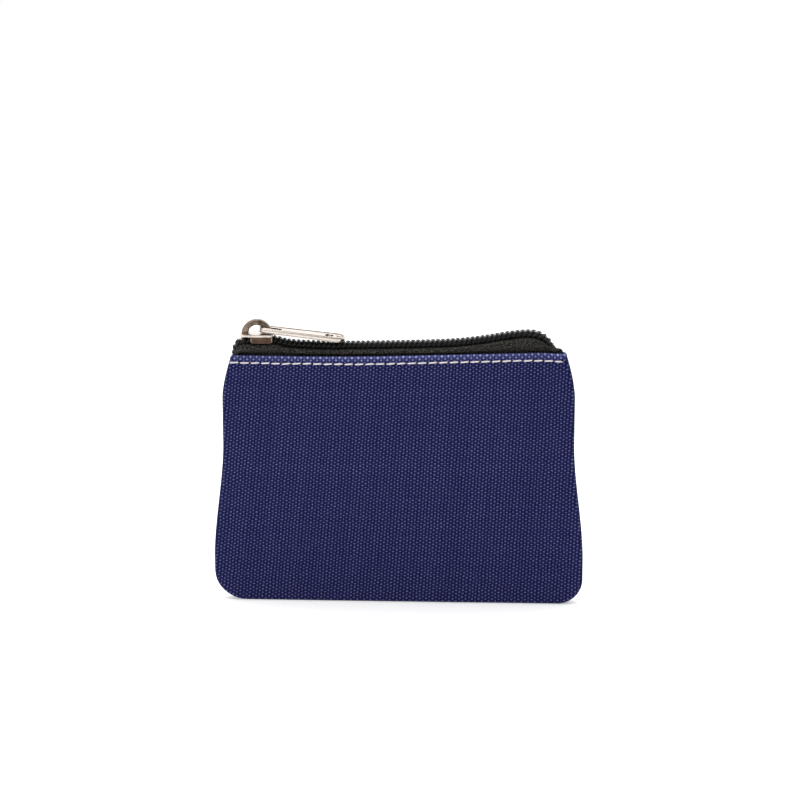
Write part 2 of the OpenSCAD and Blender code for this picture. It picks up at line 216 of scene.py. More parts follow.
def sideReach(z):
    flareShare = ease((bag["waistZ"] - z) / (bag["waistZ"] - bag["flareZ"]))
    flare = (bag["width"] - bag["waist"]) / 2 * flareShare
    shoulder = clampUnit((z - bag["shoulderZ"]) / (bag["height"] - bag["shoulderZ"]))
    return bag["waist"] / 2 + flare - (bag["waist"] - bag["mouth"]) / 2 * shoulder ** 1.5


def fullDepth(u, z):
    upwards = math.sin(math.pi / 2 * clampUnit(z / (bag["fullShare"] * bag["height"])))
    return bag["seamGap"] + bag["edgeFull"] + bag["bulge"] * max(1 - u * u, 0) ** 0.8 * upwards


# materials
class Wires:
    def __init__(self, tree):
        self.tree = tree
        self.count = 0

    def put(self, socket, value):
        if isinstance(value, bpy.types.NodeSocket):
            self.tree.links.new(value, socket)
        else:
            socket.default_value = value

    def fill(self, node, inputs):
        for key, value in inputs.items():
            self.put(node.inputs[key], value)

    def node(self, kind, inputs=None, **settings):
        made = self.tree.nodes.new(kind)
        self.count += 1
        made.location = (-1800 + 180 * (self.count % 12), -220 * (self.count // 12))
        for key, value in settings.items():
            setattr(made, key, value)
        self.fill(made, inputs or {})
        return made

    def math(self, operation, a, b=0.0):
        return self.node("ShaderNodeMath", {0: a, 1: b}, operation=operation).outputs[0]

    def times(self, a, b):
        return self.math("MULTIPLY", a, b)

    def plus(self, a, b):
        return self.math("ADD", a, b)

    def vectorMath(self, operation, a, b):
        return self.node("ShaderNodeVectorMath", {0: a, 1: b}, operation=operation).outputs[0]

    def blend(self, share, a, b, kind="RGBA"):
        made = self.node("ShaderNodeMix", data_type=kind)
        first, second, result = {"FLOAT": (2, 3, 0), "RGBA": (6, 7, 2)}[kind]
        self.fill(made, {0: share, first: a, second: b})
        return made.outputs[result]

    def ramp(self, value, low, high):
        return self.node("ShaderNodeMapRange", {0: value, 1: low, 2: high, 3: 0.0, 4: 1.0}).outputs[0]

    def noise(self, vector, scale, detail=2.0, roughness=0.5):
        inputs = {"Vector": vector, "Scale": scale, "Detail": detail, "Roughness": roughness}
        return self.node("ShaderNodeTexNoise", inputs).outputs["Fac"]

    def bump(self, height, strength, distance):
        inputs = {"Strength": strength, "Distance": distance * mm, "Height": height}
        return self.node("ShaderNodeBump", inputs).outputs[0]

    def attribute(self, name):
        return self.node("ShaderNodeAttribute", attribute_name=name).outputs

    def objectPlace(self):
        return self.node("ShaderNodeTexCoord").outputs["Object"]


def newMaterial(name):
    material = bpy.data.materials.new(name)
    material.use_nodes = True
    w = Wires(material.node_tree)
    w.tree.nodes.clear()
    shader = w.tree.nodes.new("ShaderNodeBsdfPrincipled")
    shader.location = (600, 0)
    out = w.tree.nodes.new("ShaderNodeOutputMaterial")
    out.location = (900, 0)
    w.put(out.inputs["Surface"], shader.outputs["BSDF"])
    return material, shader, w


def newGroup(name, inputs, outputs):
    group = bpy.data.node_groups.new(name, "ShaderNodeTree")
    for label, kind, value in inputs:
        socket = group.interface.new_socket(name=label, in_out="INPUT", socket_type="NodeSocket" + kind)
        if value is not None:
            socket.default_value = value
    for label, kind in outputs:
        group.interface.new_socket(name=label, in_out="OUTPUT", socket_type="NodeSocket" + kind)
    w = Wires(group)
    return group, w, w.node("NodeGroupInput").outputs, w.node("NodeGroupOutput")


weaveShape = {
    "wanderSpan": 8.0,  # how many yarns a wander of 1 would shift the pattern by
    "acrossFall": 0.92,  # how far a bump falls off towards its sides, and towards its top and bottom
    "downFall": 0.72,
    "yarnShare": 0.3,  # how much a yarn's own tone counts, and a single bump's
    "bumpShare": 0.4,
    "toneHeight": 0.3,  # how much of a bump's height comes from its tone
    "fibreStretch": (1.6, 9.0, 1.0),
}


# plain weave: bumps of the yarns on top, and lower ones of those that pass under, in a checker
def makeWeaveGroup():
    group, w, given, out = newGroup("plainWeave", [
        ("Cloth", "Vector", None),
        ("Pitch Across", "Float", 1.0),
        ("Pitch Down", "Float", 0.56),
        ("Wander", "Float", 0.12),
        ("Under Share", "Float", 0.3),
    ], [("Height", "Float"), ("Tone", "Float"), ("Fibre", "Float")])
    cloth = given["Cloth"]

    def wandering(coordinate, pitch, drift):
        shift = w.times(w.math("SUBTRACT", drift, 0.5), w.times(given["Wander"], weaveShape["wanderSpan"]))
        return w.plus(w.math("DIVIDE", coordinate, pitch), shift)

    def fallOff(wave, share):
        return w.times(w.math("SUBTRACT", 1.0, w.times(wave, wave)), share)

    def yarnTone(row):
        return w.node("ShaderNodeTexWhiteNoise", {"W": row}, noise_dimensions="1D").outputs["Value"]

    place = w.node("ShaderNodeSeparateXYZ", {0: cloth}).outputs
    elsewhere = w.vectorMath("ADD", cloth, (31.0, 17.0, 5.0))
    across = wandering(place[0], given["Pitch Across"], w.noise(cloth, 0.35, 3.0))
    down = wandering(place[1], given["Pitch Down"], w.noise(elsewhere, 0.3, 3.0))
    acrossWave = w.math("SINE", w.times(across, math.pi))
    downWave = w.math("SINE", w.times(down, math.pi))
    isOver = w.math("GREATER_THAN", w.times(acrossWave, downWave), 0.0)
    fall = w.plus(fallOff(acrossWave, weaveShape["acrossFall"]), fallOff(downWave, weaveShape["downFall"]))
    swell = w.math("POWER", w.math("MAXIMUM", w.math("SUBTRACT", 1.0, fall), 0.0), 0.5)
    height = w.times(swell, w.blend(isOver, given["Under Share"], 1.0, kind="FLOAT"))
    row, column = w.math("FLOOR", down), w.math("FLOOR", across)
    oneBump = w.node("ShaderNodeCombineXYZ", {0: column, 1: row}).outputs[0]
    bumpTone = w.node("ShaderNodeTexWhiteNoise", {"Vector": oneBump}, noise_dimensions="2D").outputs[0]
    yarnShare = weaveShape["yarnShare"]
    tone = w.plus(w.times(yarnTone(row), yarnShare),
                  w.plus(w.times(yarnTone(w.plus(column, 500.0)), yarnShare),
                         w.times(bumpTone, weaveShape["bumpShare"])))
    w.fill(out, {
        "Height": w.times(height, w.plus(0.85, w.times(tone, weaveShape["toneHeight"]))),
        "Tone": tone,
        "Fibre": w.noise(w.vectorMath("MULTIPLY", cloth, weaveShape["fibreStretch"]), 2.6, 3.0, 0.7)})
    return group


# wear on metal: dark patches, fine unevenness and scratches along it
def makeWearGroup():
    group, w, given, out = newGroup("metalWear", [
        ("Place", "Vector", None),
        ("Bright", "Color", (0.8, 0.75, 0.7, 1)),
        ("Dark", "Color", (0.2, 0.16, 0.13, 1)),
        ("Grime", "Float", 0.4),
    ], [("Colour", "Color"), ("Roughness", "Float"), ("Height", "Float")])
    fine = w.noise(given["Place"], 5200.0, 3.0, 0.6)
    scratch = w.noise(w.vectorMath("MULTIPLY", given["Place"], (0.14, 1.0, 1.0)), 6500.0, 2.0)
    share = w.times(w.ramp(w.noise(given["Place"], 550.0, 4.0, 0.65), 0.42, 0.72), given["Grime"])
    w.fill(out, {
        "Colour": w.blend(share, given["Bright"], given["Dark"]),
        "Roughness": w.plus(w.times(fine, 0.1), w.times(share, 0.35)),
        "Height": w.plus(w.times(scratch, 0.6), w.times(fine, 0.4))})
    return group


weaveGroup = makeWeaveGroup()
wearGroup = makeWearGroup()

canvasLook = {
    "pitchAcross": 1.0,
    "pitchDown": 0.56,
    "wander": 0.1,
    "underShare": 0.16,
    # painted shade in the gaps between the yarns, much darker than the yarn's own blue
    "valley": (0.002, 0.0026, 0.036, 1),
    "yarn": (0.084, 0.089, 0.247, 1),
    "yarnLight": (0.125, 0.134, 0.33, 1),
    # painted highlight along the hem's fold, where it turns up to the light: its yarn colour and its lighter
    # gaps
    "foldLight": (0.42, 0.46, 0.84, 1),
    "foldValley": (0.045, 0.052, 0.17, 1),
    "bump": 0.22,
    "gloss": 0.08,
}


def makeCanvas():
    material, shader, w = newMaterial("canvas")
    # share of the painted highlight along the hem's fold
    fold = w.attribute("foldHighlightShare")["Fac"]
    weave = w.node("ShaderNodeGroup", {
        "Cloth": w.attribute("cloth")["Vector"], "Pitch Across": canvasLook["pitchAcross"],
        "Pitch Down": canvasLook["pitchDown"], "Wander": canvasLook["wander"],
        "Under Share": canvasLook["underShare"]}, node_tree=weaveGroup).outputs
    yarn = w.blend(weave["Tone"], canvasLook["yarn"], canvasLook["yarnLight"])
    valley = w.blend(fold, canvasLook["valley"], canvasLook["foldValley"])
    # the weave's low parts take the painted gap shade, its raised yarns their own colour
    share = w.times(weave["Height"], w.plus(0.72, w.times(weave["Fibre"], 0.5)))
    height = w.plus(weave["Height"], w.times(weave["Fibre"], 0.25))
    w.fill(shader, {
        "Base Color": w.blend(share, valley, w.blend(fold, yarn, canvasLook["foldLight"])),
        "Roughness": w.plus(0.72, w.times(weave["Fibre"], 0.2)),
        "Normal": w.bump(height, 0.9, canvasLook["bump"]),
        "Specular IOR Level": canvasLook["gloss"]})
    return material


tapeLook = {
    "dark": (0.0015, 0.0015, 0.0014, 1),
    "light": (0.22, 0.21, 0.19, 1),
    "pitchAcross": 0.36 * 1.3,
    "pitchDown": 0.36,
    "wander": 0.16,
    "underShare": 0.55,
    "bump": 0.09,
    "gloss": 0.06,
}


def makeTape(name, lightness):
    material, shader, w = newMaterial(name)
    cloth = w.attribute("cloth")["Vector"]
    weave = w.node("ShaderNodeGroup", {
        "Cloth": cloth, "Pitch Across": tapeLook["pitchAcross"], "Pitch Down": tapeLook["pitchDown"],
        "Wander": tapeLook["wander"], "Under Share": tapeLook["underShare"]}, node_tree=weaveGroup).outputs
    speck = w.ramp(w.noise(cloth, 1.6, 4.0, 0.75), 0.42, 0.75)
    share = w.times(weave["Height"], w.times(speck, lightness))
    w.fill(shader, {
        "Base Color": w.blend(share, tapeLook["dark"], tapeLook["light"]),
        "Roughness": w.plus(0.6, w.times(weave["Fibre"], 0.25)),
        "Normal": w.bump(weave["Height"], 0.8, tapeLook["bump"]),
        "Specular IOR Level": tapeLook["gloss"]})
    return material


threadLooks = {
    "ivoryThread": {"dark": (0.5, 0.45, 0.45, 1), "light": (0.95, 0.9, 0.9, 1), "twist": 1500.0,
                    "sheen": 0.15, "gloss": 0.4},
    "blackThread": {"dark": (0.004, 0.004, 0.004, 1), "light": (0.013, 0.013, 0.012, 1), "twist": 2500.0,
                    "sheen": 0.0, "gloss": 0.1},
    "cordThread": {"dark": (0.015, 0.015, 0.014, 1), "light": (0.06, 0.058, 0.055, 1), "twist": 2200.0,
                   "sheen": 0.0, "gloss": 0.1},
}


def makeThread(name):
    look = threadLooks[name]
    material, shader, w = newMaterial(name)
    place = w.objectPlace()
    turned = w.node("ShaderNodeMapping", {"Vector": place, "Rotation": (0.3, 0.5, 0.6)}).outputs[0]
    wave = w.node("ShaderNodeTexWave", {
        "Vector": turned, "Scale": look["twist"], "Distortion": 1.5, "Detail": 2.0},
        bands_direction="X").outputs["Fac"]
    fuzz = w.noise(place, 4200.0, 3.0, 0.7)
    share = w.plus(w.times(wave, 0.6), w.times(fuzz, 0.4))
    w.fill(shader, {
        "Base Color": w.blend(share, look["dark"], look["light"]),
        "Roughness": w.plus(0.5, w.times(fuzz, 0.3)),
        "Normal": w.bump(share, 0.6, 0.05),
        "Sheen Weight": look["sheen"],
        "Specular IOR Level": look["gloss"]})
    return material


coilLook = {
    "dark": (0.004, 0.004, 0.0045, 1),
    "light": (0.012, 0.012, 0.012, 1),
    "roughness": 0.22,
    "gloss": 0.17,
}


def makeCoilPlastic():
    material, shader, w = newMaterial("coil")
    place = w.objectPlace()
    haze = w.noise(place, 900.0, 3.0, 0.6)
    w.fill(shader, {
        "Base Color": w.blend(haze, coilLook["dark"], coilLook["light"]),
        "Roughness": w.plus(coilLook["roughness"], w.times(haze, 0.16)),
        "Normal": w.bump(w.noise(place, 6000.0, 2.0, 0.6), 0.25, 0.02),
        "Specular IOR Level": coilLook["gloss"]})
    return material


nickelLooks = {
    "antiqueNickel": {"bright": (0.6, 0.54, 0.49, 1), "dark": (0.2, 0.145, 0.11, 1),
                      "grime": 0.25, "roughness": 0.17},
    # nickel of the crown and the flanges: wear patches, and a darker base that is painted shade
    "nickelWornAndShaded": {"bright": (0.228, 0.178, 0.14, 1), "dark": (0.035, 0.025, 0.018, 1),
                   "grime": 1.0, "roughness": 0.24},
    # patina in the hollows and painted shade: the slider's sunk flange fields and the tab's inner walls,
    # groove and underside
    "nickelPatinaAndShade": {"bright": (0.105, 0.066, 0.048, 1), "dark": (0.035, 0.022, 0.016, 1),
                       "grime": 0.8, "roughness": 0.34},
}


def makeNickel(name):
    look = nickelLooks[name]
    material, shader, w = newMaterial(name)
    wear = w.node("ShaderNodeGroup", {
        "Place": w.objectPlace(), "Bright": look["bright"], "Dark": look["dark"], "Grime": look["grime"]},
        node_tree=wearGroup).outputs
    w.fill(shader, {
        "Base Color": wear["Colour"],
        "Roughness": w.plus(look["roughness"], wear["Roughness"]),
        "Normal": w.bump(wear["Height"], 0.05, 0.008),
        "Metallic": 1.0})
    return material


canvas = makeCanvas()
tapeCloth = makeTape("zipperTape", 1.5)
bindingCloth = makeTape("bindingTape", 0.8)
ivoryThread = makeThread("ivoryThread")
blackThread = makeThread("blackThread")
cordThread = makeThread("cordThread")
coilPlastic = makeCoilPlastic()
nickel = makeNickel("antiqueNickel")
crownNickel = makeNickel("nickelWornAndShaded")
patinaShadeNickel = makeNickel("nickelPatinaAndShade")
print("materials made")

# pieces along the mouth are cut in two where it opens widest
opening = {
    "widestX": -8.0,
    "leftX": -48.5,  # the closed end, where the slider is parked
    "rightX": 37.0,  # the other one, under the slider when the mouth is fully open
}


def splitAndBlend(piece, node):
    for side, startX in (("Left", opening["leftX"]), ("Right", opening["rightX"])):
        bm = bmesh.new()
        bm.from_mesh(piece.data)
        cut = bmesh.ops.bisect_plane(
            bm, geom=bm.verts[:] + bm.edges[:] + bm.faces[:], dist=1e-7,
            plane_co=(opening["widestX"] * mm, 0, 0), plane_no=(1, 0, 0),
            clear_outer=side == "Left", clear_inner=side == "Right")
        rim = openEdges(cut["geom_cut"])
        if rim:
            for e in rim:
                e.smooth = False
            for f in bmesh.ops.holes_fill(bm, edges=rim, sides=0)["faces"]:
                f.smooth = False
        half = linkShape(piece.name + side, bm, piece.data.materials, smooth=False)
        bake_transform(half)
        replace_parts(half, node)
    bpy.data.objects.remove(piece)


def blendBoth(front, back, node):
    splitAndBlend(front, "front_" + node)
    splitAndBlend(back, "back_" + node)


def mirrorY(piece, name, keep=True):
    bm = bmesh.new()
    bm.from_mesh(piece.data)
    flipY(bm)
    made = linkShape(name, bm, piece.data.materials, smooth=False)
    if not keep:
        bpy.data.objects.remove(piece)
    return made


# canvas panels: one sheet each, its edges rolled and turned in, its top folded to a hem
panel = {
    "columns": 118,
    "rows": 84,
    "bottomRows": 10,  # rows that follow the bottom corners' turn, and the top ones'
    "topRows": 4,
    "sideRoll": 0.7,  # radius of the sheet's middle where the side turns in
    "foldRoll": 0.48,  # the same at the hem's fold
    "rollSteps": 7,
    "turnedSteps": (0.25, 0.6, 1.0),
    "mitreZone": 12,  # height below the mouth where hem and allowance meet
    "mitreGap": 0.6,
    "cornerSwell": 0.6,
    "undulation": 0.16,  # how far the cloth waves
    "waveFade": (4, 12),  # the waves start this far below the mouth, and are full after so much more
    "stitchDip": 0.22,  # how deep the topstitching pulls the cloth in, and how far from it
    "dipReach": 0.55,
    "leanLeft": 6.0,  # the weave's lean, in degrees
    "leanRight": 2.0,
    "foldTone": 0.6,  # how strong the painted highlight along the hem's fold is on the cloth's face, and how far down it shows
    "foldToneDrop": 2.1,
    "frontSeed": 3.0,
    "backSeed": 21.0,
}


def stitchDip(drop):
    return panel["stitchDip"] * math.exp(-((drop - bag["topstitchDrop"]) / panel["dipReach"]) ** 2)


def panelWave(x, z, seed):
    start, length = panel["waveFade"]
    slow = noise.noise(Vector((x * 0.035, z * 0.045, seed)))
    small = noise.noise(Vector((x * 0.12, z * 0.12, seed + 9)))
    fade = clampUnit((bag["height"] - start - z) / length)
    return panel["undulation"] * fade * (slow * 1.6 + small * 0.35)


# depth of the cloth's face at a share u of the half width
def panelDepth(u, z, drop, seed):
    return fullDepth(u, z) - stitchDip(drop) + panelWave(u * sideReach(z), z, seed)


def weaveLean(x, z):
    lean = mix(panel["leanLeft"], panel["leanRight"], clampUnit(x / bag["width"] + 0.5))
    return x - z * math.tan(math.radians(lean))


# heights of the rows, closer together where the corners turn
def rowHeights(bottomZ, bottomR, topZ, topR):
    low, high = panel["bottomRows"], panel["topRows"]
    middle = panel["rows"] - low - high
    heights = [bottomZ - bottomR * math.cos(math.pi / 2 * k / low) for k in range(low)]
    heights += [mix(bottomZ, topZ, k / middle) for k in range(middle)]
    return heights + [topZ + topR * math.sin(math.pi / 2 * k / high) for k in range(high + 1)]


def buildPanel(name, seed):
    half = bag["canvas"] / 2
    sideInset = panel["sideRoll"] + half
    bottomZ, bottomR = bag["cornerRadius"], bag["cornerRadius"] - sideInset
    topR = max(bag["mouthCornerRadius"] - sideInset, 0.35)
    topZ = bag["height"] - (panel["foldRoll"] + half) - topR
    heights = rowHeights(bottomZ, bottomR, topZ, topR)
    bm = bmesh.new()
    outwardLayer = bm.verts.layers.float_vector.new("outward")
    clothLayer = bm.verts.layers.float_vector.new("cloth")
    foldHighlightLayer = bm.verts.layers.float.new("foldHighlightShare")
    bmesh.ops.create_grid(bm, x_segments=panel["columns"], y_segments=panel["rows"], size=1)
    for v in bm.verts:
        u = v.co.x
        z = heights[round((v.co.y + 1) / 2 * panel["rows"])]
        reach = sideReach(z) - sideInset
        outX, outZ = (1 if u > 0 else -1), 0
        if z < bottomZ:
            turn = math.sqrt(max(bottomR ** 2 - (bottomZ - z) ** 2, 0))
            reach += turn - bottomR
            outX, outZ = math.copysign(turn / bottomR, u), -(bottomZ - z) / bottomR
        elif z > topZ:
            turn = math.sqrt(max(topR ** 2 - (z - topZ) ** 2, 0))
            reach += turn - topR
            outX, outZ = math.copysign(turn / topR, u), (z - topZ) / topR
        if u < 0:
            reach -= leftTrim(z)
        if abs(u) < 0.9999:
            outX, outZ = 0, (1 if z > topZ else -1)
        x = u * reach
        drop = bag["height"] - z
        v.co = (x, half - panelDepth(x / sideReach(z), z, drop, seed), z * clothEdge(x) / bag["height"])
        v[outwardLayer] = (outX, 0, outZ)
        v[clothLayer] = (weaveLean(x, z), z, 0)
        # painted highlight: the face just below the fold is lighter
        v[foldHighlightLayer] = panel["foldTone"] * ease(1 - drop / panel["foldToneDrop"])
    # the rim is rolled over and turned in, row by row; each new vertex knows the one it came from
    sourceLayer = bm.verts.layers.int.new("source")
    bm.verts.index_update()
    for v in bm.verts:
        v[sourceLayer] = v.index
    rim = openEdges(bm.edges)
    base = {v.index: (v.co.copy(), v[outwardLayer].copy(), v[clothLayer].copy())
            for e in rim for v in e.verts}
    rolled = [(True, math.pi * k / panel["rollSteps"]) for k in range(1, panel["rollSteps"] + 1)]
    for isRoll, step in rolled + [(False, share) for share in panel["turnedSteps"]]:
        rim = openEdges(bmesh.ops.extrude_edge_only(bm, edges=rim)["geom"])
        for v in {v for e in rim for v in e.verts}:
            place, outward, cloth = base[v[sourceLayer]]
            top = clampUnit(outward.z) ** 2
            radius = mix(panel["sideRoll"], panel["foldRoll"], top)
            faceY = -place.y
            backY = mix(bag["seamGap"] + half + 0.02, faceY - 2 * panel["foldRoll"], top)
            if isRoll:
                corner = 1 + panel["cornerSwell"] * abs(outward.x * outward.z) if outward.z > 0 else 1
                reach, run = radius * math.sin(step) * corner, radius * step
                y = faceY - (faceY - backY) / 2 * (1 - math.cos(step))
            else:
                # the allowance or hem, cut back to a mitre where two of them meet
                width = mix(bag["allowance"], bag["hem"], top) - radius - half
                room = math.inf
                if place.z > bag["height"] - panel["mitreZone"]:
                    room = mix(bag["height"] - place.z, sideReach(place.z) - abs(place.x), top)
                inward = min(width * step, max(room * 0.9 - panel["mitreGap"], 0.05) * (0.4 + 0.6 * step))
                reach, run = -inward, math.pi * radius + inward
                y = backY
                if top > 0.5:
                    behind = panelDepth(place.x / sideReach(place.z), place.z - inward, math.inf, seed)
                    y = min(backY, behind - half - 2 * panel["foldRoll"])
            v.co = (place.x + outward.x * reach, -y, place.z + outward.z * reach)
            v[clothLayer] = (cloth.x + outward.x * run, cloth.y + outward.z * run, 0)
            # painted highlight over the roll of the hem's fold, strongest on its upward crest
            v[foldHighlightLayer] = top * mix(panel["foldTone"], 1.0, math.sin(step)) if isRoll else 0
    bmesh.ops.recalc_face_normals(bm, faces=bm.faces[:])
    toMetres(bm)
    piece = linkShape(name, bm, [canvas])
    thicken(piece, bag["canvas"], evenWall=True)
    for layer in ("outward", "source"):
        piece.data.attributes.remove(piece.data.attributes[layer])
    return piece


backPanel = mirrorY(buildPanel("backPanelShape", panel["backSeed"]), "backPanel", keep=False)
blendBoth(buildPanel("frontPanel", panel["frontSeed"]), backPanel, "panel")
print("panels made")

# sewing thread: a profile gives shares of a stitch's length and how deep the thread lies there
stitches = {
    "pitch": 3.13,
    "share": 0.84,  # of a pitch, the stitch itself
    "radius": 0.24,
    "profile": ((0, 0.5), (0.07, 0.21), (0.2, 0.03), (0.5, 0.0), (0.8, 0.03), (0.93, 0.21), (1, 0.5)),
    "slant": 0.16,
    "fromSide": 0.25,
    "first": 0.15,
    "wander": 0.12,  # how far the row strays up and down
    "startWobble": 0.2,
    "slantWobble": 1.2,
    "seamShare": 0.8,
    "seamRadius": 0.2,
    "seamProfile": ((0, 0.12), (0.12, 0.0), (0.5, -0.03), (0.88, 0.0), (1, 0.12)),
    "seamInset": 0.85,
}


def topstitchPoint(x, sink, slant):
    z = bag["height"] - bag["topstitchDrop"]
    depth = panelDepth(x / sideReach(z), z, bag["topstitchDrop"], panel["frontSeed"])
    wave = stitches["wander"] * noise.noise(Vector((x * 0.13, 7.0, 0)))
    return x, sink - stitches["radius"] * 0.55 - depth, clothEdge(x) - bag["topstitchDrop"] + wave + slant


def buildTopstitch(name):
    reach = sideReach(bag["height"] - bag["topstitchDrop"]) - stitches["fromSide"]
    lines = []
    for k in range(int(2 * reach / stitches["pitch"]) + 1):
        start = -reach + k * stitches["pitch"] + stitches["first"]
        end = min(start + stitches["pitch"] * stitches["share"], reach)
        if end - start > 1:
            wobble = noise.noise(Vector((k * 1.7, 4.0, 0)))
            start += stitches["startWobble"] * wobble
            slant = stitches["slant"] * (1 + stitches["slantWobble"] * wobble)
            lines.append([topstitchPoint(mix(start, end, t), sink, slant * (t - 0.5))
                          for t, sink in stitches["profile"]])
    return tubes(name, lines, stitches["radius"], ivoryThread)


frontTopstitch = buildTopstitch("frontTopstitch")
blendBoth(frontTopstitch, mirrorY(frontTopstitch, "backTopstitch"), "topstitch")


# the sewn edge from the left side's top, round the bottom, to the right side's top
def seamPath(inset, top):
    r = bag["cornerRadius"] - inset
    corner = bag["width"] / 2 - bag["cornerRadius"]
    right = [Vector((corner + r * math.sin(a), 0, bag["cornerRadius"] - r * math.cos(a)))
             for a in [math.pi / 2 * k / 12 for k in range(13)]]
    right += [Vector((sideReach(z) - inset, 0, z))
              for z in [mix(bag["cornerRadius"], top, k / 30) for k in range(1, 31)]]
    return [Vector((leftTrim(p.z) - p.x, 0, p.z)) for p in reversed(right)] + right


def pathLengths(path):
    lengths = [0.0]
    for a, b in zip(path, path[1:]):
        lengths.append(lengths[-1] + (b - a).length)
    return lengths


def pathAt(path, lengths, s):
    s = min(max(s, 0.0), lengths[-1])
    low, high = 0, len(path) - 2
    while low < high:
        middle = (low + high + 1) // 2
        if lengths[middle] <= s:
            low = middle
        else:
            high = middle - 1
    return path[low].lerp(path[low + 1], (s - lengths[low]) / (lengths[low + 1] - lengths[low]))


def pathWay(path, lengths, s, reach):
    return (pathAt(path, lengths, s + reach) - pathAt(path, lengths, s - reach)).normalized()


def buildSeamThread(top):
    line = seamPath(stitches["seamInset"], top)
    lengths = pathLengths(line)
    lines = []
    for k in range(int(lengths[-1] / stitches["pitch"])):
        points = []
        for t, y in stitches["seamProfile"]:
            p = pathAt(line, lengths, 0.5 + (k + t * stitches["seamShare"]) * stitches["pitch"])
            points.append((p.x, y, p.z))
        lines.append(points)
    return tubes("seamThread", lines, stitches["seamRadius"], ivoryThread)


seamTop = bag["height"] - bag["mouthRise"] - bag["hem"] - 1
seamThread = buildSeamThread(seamTop)
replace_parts(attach(seamThread, "seam"), "seam_stitching")

# binding tape folded over the seam allowances
binding = {"thick": 0.28, "wrap": 2.8, "touch": 0.03, "columns": 150}


def buildBinding(top):
    line = seamPath(bag["allowance"] + binding["touch"], top)
    lengths = pathLengths(line)
    # its section, inwards and across: the front half, and the same at the back
    outY = bag["seamGap"] + bag["canvas"] + binding["touch"] + binding["thick"] / 2
    section = [(-binding["wrap"], -outY), (-1.6, -outY), (-0.5, -outY), (-0.1, 0.05 - outY),
               (0.12, 0.35 - outY), (0.14, -0.4)]
    section += [(inward, -y) for inward, y in reversed(section)]
    bm = bmesh.new()
    clothLayer = bm.verts.layers.float_vector.new("cloth")
    bmesh.ops.create_grid(bm, x_segments=binding["columns"], y_segments=len(section) - 1, size=1)
    for v in bm.verts:
        s = (v.co.x + 1) / 2 * lengths[-1]
        inward, y = section[round((v.co.y + 1) / 2 * (len(section) - 1))]
        way = pathWay(line, lengths, s, 0.5)
        p = pathAt(line, lengths, s) + Vector((-way.z, 0, way.x)) * inward
        v.co = (p.x * mm, y * mm, p.z * mm)
        v[clothLayer] = (s, y + inward, 0)
    bmesh.ops.recalc_face_normals(bm, faces=bm.faces[:])
    piece = linkShape("seamBinding", bm, [bindingCloth])
    thicken(piece, binding["thick"])
    return piece


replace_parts(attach(buildBinding(seamTop), "seam"), "seam_binding")
print("threads and binding made")

# the zipper: its chain follows nearly the CAD model's line, a little lower on the right
zipper = {
    "route": [  # shares of half the mouth, and heights above its edge
        (-0.972, -1.6), (-0.97, 0.4), (-0.967, 1.5), (-0.955, 2.7), (-0.93, 3.32), (-0.89, 3.44), (-0.84, 3.4),
        (-0.76, 3.36), (-0.71, 2.85), (-0.64, 2.1), (-0.4, 1.5), (0, 1.5), (0.31, 1.85), (0.49, 2.65),
        (0.67, 4.0), (0.78, 4.4), (0.84, 3.8), (0.88, 2.5), (0.905, 0.9), (0.92, 0.1), (0.932, -1.4),
    ],
    "pitch": 1.5,
    "phase": 0.25,  # the first loop's place along a pitch
    "filament": 0.7,
    # how thick the filament is round a loop, as shares of that
    "widths": (1.2, 1.1, 1.0, 0.95, 0.95, 0.95, 1.0, 1.0, 1.0, 1.1, 1.25, 1.45, 1.5, 1.35),
    "bendSteps": 6,
    "height": 1.9,
    "half": 2.6,
    "headReach": 0.5,
    "tape": 0.45,
    "tapeTail": 7.0,
    "touch": 0.03,
    "wedge": 1.0,
    "wedgeTip": 2.7,  # from the slider's nose
    "partGap": 0.12,
    "partLead": 2.05,  # the halves begin to part this far beyond the wedge's tip
    "partLength": 3,
    "margin": 0.3,
    "endLength": 7.0,
    "endNarrow": 0.42,  # how much narrower and lower the loops are at the ends
    "endLower": 0.3,
    "buried": 2.0,  # length of each end that goes down between the hems
    "cordMargin": 5.0,
    "cordRadius": 0.25,
    "cordGap": 0.3,
    "cordSteps": 120,
    "sewingRadius": 0.12,
    "sewingAcross": 0.6,  # share of the coil's half width
    "sewing": ((-0.28, 0.14), (0.0, 0.0), (0.28, 0.14), (0.5, 0.55)),  # place along a pitch, and depth
}


def routeKnot(k):
    share, over = zipper["route"][min(max(k, 0), len(zipper["route"]) - 1)]
    x = share * bag["mouth"] / 2
    return Vector((x, 0, edgeHeight(x) + over))


# a smooth curve between b and c
def knotBlend(a, b, c, d, t):
    bend, twist = 2 * a - 5 * b + 4 * c - d, 3 * b - a - 3 * c + d
    return 0.5 * (2 * b + (c - a) * t + bend * t * t + twist * t * t * t)


chain = [knotBlend(routeKnot(k - 1), routeKnot(k), routeKnot(k + 1), routeKnot(k + 2), t / 8)
         for k in range(len(zipper["route"]) - 1) for t in range(8)] + [routeKnot(len(zipper["route"]) - 1)]
chainLengths = pathLengths(chain)
chainEnd = chainLengths[-1]
loopCount = int((chainEnd - 2 * zipper["margin"]) / zipper["pitch"])
sliderLow, sliderHigh = boxMm("slider_body")


# a point at a length s along the chain, y across it and n above it
def chainPoint(s, y, n):
    p = pathAt(chain, chainLengths, s)
    way = pathWay(chain, chainLengths, s, 0.6)
    return Vector((p.x - n * way.z, y, p.z + n * way.x))


# 1 along the chain and 0 at its ends
def endFade(s):
    return ease((min(s, chainEnd - s) - zipper["buried"]) / zipper["endLength"])


def narrow(s):
    return 1 - zipper["endNarrow"] * (1 - endFade(s))


def lowered(s):
    return zipper["endLower"] * (1 - endFade(s))


